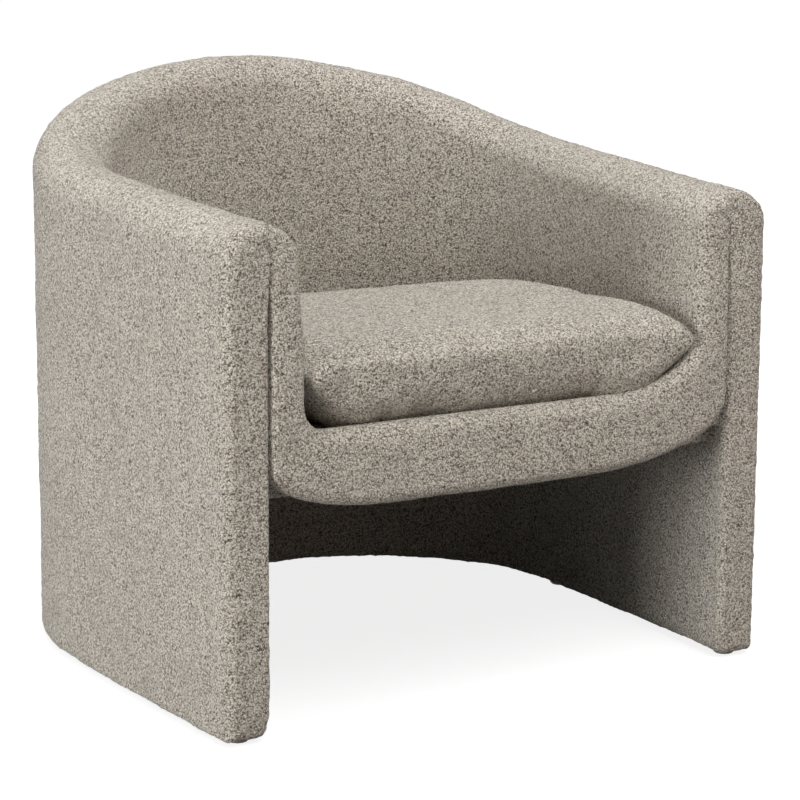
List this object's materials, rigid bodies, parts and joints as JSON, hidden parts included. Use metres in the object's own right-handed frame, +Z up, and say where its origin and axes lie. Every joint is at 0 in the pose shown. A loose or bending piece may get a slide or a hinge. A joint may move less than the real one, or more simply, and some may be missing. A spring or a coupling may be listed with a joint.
{
  "type": "tub chair",
  "caption": "Low upholstered tub chair with a curved wraparound back and arms down to the floor, an inset bucket with an arched front rail, and a loose seat cushion.",
  "frame": {"origin": "on the floor, at the centre of the chair's bounding box seen from above", "axes": "+X to the right of a person who looks at the chair's front, +Y towards the chair's back, +Z up; the front faces -Y"},
  "size_m": [0.8, 0.772, 0.749],
  "materials": {
    "boucle": "taupe and cream looped boucle upholstery cloth",
    "foam": "upholstery foam and wadding",
    "timber": "sawn softwood",
    "plywood": "raw plywood",
    "felt": "pressed fibre insulator",
    "webbing": "woven webbing",
    "dust_cloth": "black non-woven dust cloth",
    "spring_steel": "drawn spring wire and pressed clips",
    "zip_tape": "woven zip tape",
    "zip_metal": "plain cast zip slider",
    "glide_plastic": "dark taupe moulded glide"
  },
  "bodies": {
    "chair": {"top_rail": "timber", "post_front_left": "timber", "post_side_left": "timber", "post_corner_left": "timber", "post_back": "timber", "post_corner_right": "timber", "post_side_right": "timber", "post_front_right": "timber", "outer_board": "plywood", "leg_inner_board": "plywood", "seat_rail_left": "timber", "seat_rail_right": "timber", "seat_rail_back": "timber", "front_rail_cloth": "boucle", "front_rail_board": "timber", "spring_rail": "timber", "corner_block_front_left": "timber", "corner_block_back_left": "timber", "corner_block_front_right": "timber", "corner_block_back_right": "timber", "spring_1": "spring_steel", "spring_clip_front_1": "spring_steel", "spring_clip_back_1": "spring_steel", "spring_2": "spring_steel", "spring_clip_front_2": "spring_steel", "spring_clip_back_2": "spring_steel", "spring_3": "spring_steel", "spring_clip_front_3": "spring_steel", "spring_clip_back_3": "spring_steel", "spring_4": "spring_steel", "spring_clip_front_4": "spring_steel", "spring_clip_back_4": "spring_steel", "insulator_pad": "felt", "deck_pad": "foam", "deck_cloth": "boucle", "dust_cover": "dust_cloth", "outer_pad": "foam", "leg_inner_pad": "foam", "roll_pad": "foam", "bucket_foam": "foam", "back_webbing": "webbing", "outer_cover": "boucle", "leg_inner_cover": "boucle", "bucket_cover": "boucle", "facing_cover_left": "boucle", "facing_pad_left": "foam", "facing_cover_right": "boucle", "facing_pad_right": "foam", "band_cover": "boucle", "band_pad": "foam", "glide_front_left": "glide_plastic", "glide_side_left": "glide_plastic", "glide_back": "glide_plastic", "glide_side_right": "glide_plastic", "glide_front_right": "glide_plastic", "base_rib": "plywood"},
    "cushion": {"cushion_cover": "boucle", "cushion_core": "foam", "cushion_zip_tape": "zip_tape"},
    "zip_slider": {"cushion_zip_slider": "zip_metal"}
  },
  "joints": [
    {"name": "cushion_lift", "type": "slide", "parent": "chair", "child": "cushion", "axis": [0, 0, 1], "range_m": [0, 0.4]},
    {"name": "zip_run", "type": "slide", "parent": "cushion", "child": "zip_slider", "axis": [1, 0, 0], "range_m": [0, 0.322]}
  ]
}
